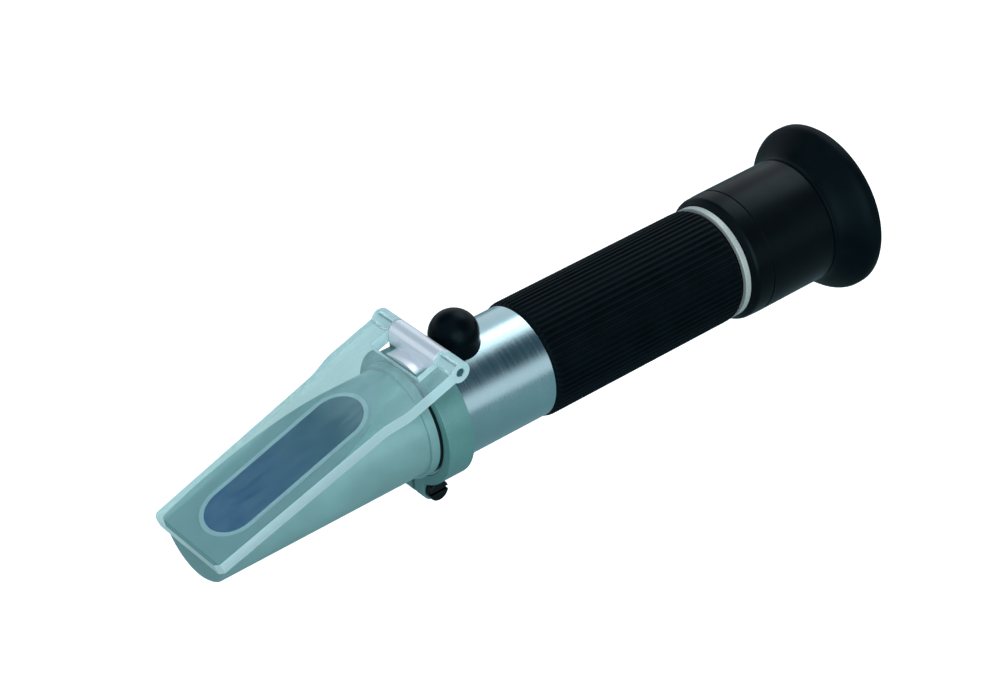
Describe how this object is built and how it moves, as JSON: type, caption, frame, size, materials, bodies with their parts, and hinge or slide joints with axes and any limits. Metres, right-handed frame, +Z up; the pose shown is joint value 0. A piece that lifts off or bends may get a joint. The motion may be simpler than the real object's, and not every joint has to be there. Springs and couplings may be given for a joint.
{
  "type": "hand-held refractometer",
  "caption": "Tubular hand-held refractometer with a slanted prism under a hinged clear plate, a ribbed grip, a calibration cap and a focusing eyepiece with a flared eyecup.",
  "frame": {"origin": "middle of the straight land inside the eyecup's mouth, on the optical axis", "axes": "+X along the optical axis out of the eyecup, +Z up, the way the slanted prism face looks, +Y completes the right-handed set"},
  "size_m": [0.1848, 0.0416, 0.0432],
  "materials": {
    "head_metal": "satin lacquered cast metal",
    "polished_metal": "satin bright metal tube",
    "collar_metal": "satin lacquered metal",
    "dark_steel": "blackened steel",
    "bright_steel": "turned steel",
    "brass_part": "turned brass",
    "prism_glass": "polished blue-looking optical glass",
    "optical_glass": "polished optical glass",
    "clear_plastic": "clear acrylic, edges slightly frosted",
    "seal_plastic": "grey cement line",
    "black_rubber": "black rubber",
    "grip_rubber": "ribbed black rubber",
    "black_plastic": "black satin plastic",
    "inner_black": "matt black anodised",
    "trim_silver": "satin silver"
  },
  "bodies": {
    "instrument": {"prism_head": "head_metal", "measuring_prism": "prism_glass", "prism_seal": "seal_plastic", "prism_screws": "dark_steel", "head_gasket": "black_rubber", "metal_barrel": "polished_metal", "spigot_screws": "dark_steel", "hinge_collar": "collar_metal", "clamp_nut": "dark_steel", "hinge_pin": "bright_steel", "calibration_bush": "brass_part", "light_baffle": "inner_black", "reticle_ring": "inner_black", "reticle_glass": "optical_glass", "rubber_grip": "grip_rubber", "trim_ring": "trim_silver"},
    "plate": {"daylight_plate": "clear_plastic"},
    "cap": {"calibration_cap": "black_rubber"},
    "adjuster": {"calibration_screw": "bright_steel"},
    "objective": {"objective_cell": "inner_black", "objective_lens": "optical_glass", "objective_ring": "inner_black"},
    "focus_ring": {"focus_sleeve": "black_plastic", "eyecup": "black_rubber"},
    "eye_lenses": {"lens_carrier": "inner_black", "field_lens": "optical_glass", "lens_spacer": "inner_black", "eye_lens": "optical_glass", "eye_ring": "inner_black", "guide_pin": "bright_steel"},
    "clamp": {"clamp_screw": "dark_steel"}
  },
  "joints": [
    {"name": "plate_hinge", "type": "hinge", "parent": "instrument", "child": "plate", "pos_m": [-0.1184, 0, 0.01733], "axis": [0, 1, 0], "range_deg": [0, 100]},
    {"name": "cap_pull", "type": "slide", "parent": "instrument", "child": "cap", "axis": [0, 0, 1], "range_m": [0, 0.015]},
    {"name": "calibration_turn", "type": "hinge", "parent": "instrument", "child": "adjuster", "pos_m": [-0.1091, 0, 0], "axis": [0, 0, 1], "range_deg": [-180, 180]},
    {"name": "objective_shift", "type": "slide", "parent": "instrument", "child": "objective", "axis": [0, 0, 1], "range_m": [-0.00025, 0.00025]},
    {"name": "focus_turn", "type": "hinge", "parent": "instrument", "child": "focus_ring", "pos_m": [0, 0, 0], "axis": [1, 0, 0], "range_deg": [-100, 100]},
    {"name": "focus_travel", "type": "slide", "parent": "instrument", "child": "eye_lenses", "axis": [1, 0, 0], "range_m": [-0.00251, 0.00251]},
    {"name": "clamp_turn", "type": "hinge", "parent": "instrument", "child": "clamp", "pos_m": [-0.1205, 0, -0.0185], "axis": [0, 1, 0], "range_deg": [-180, 180]}
  ],
  "couplings": [
    {"joint": "calibration_turn", "follows": "objective_shift", "rad_per_m": 12566},
    {"joint": "focus_travel", "follows": "focus_turn", "m_per_rad": 0.0014324}
  ]
}
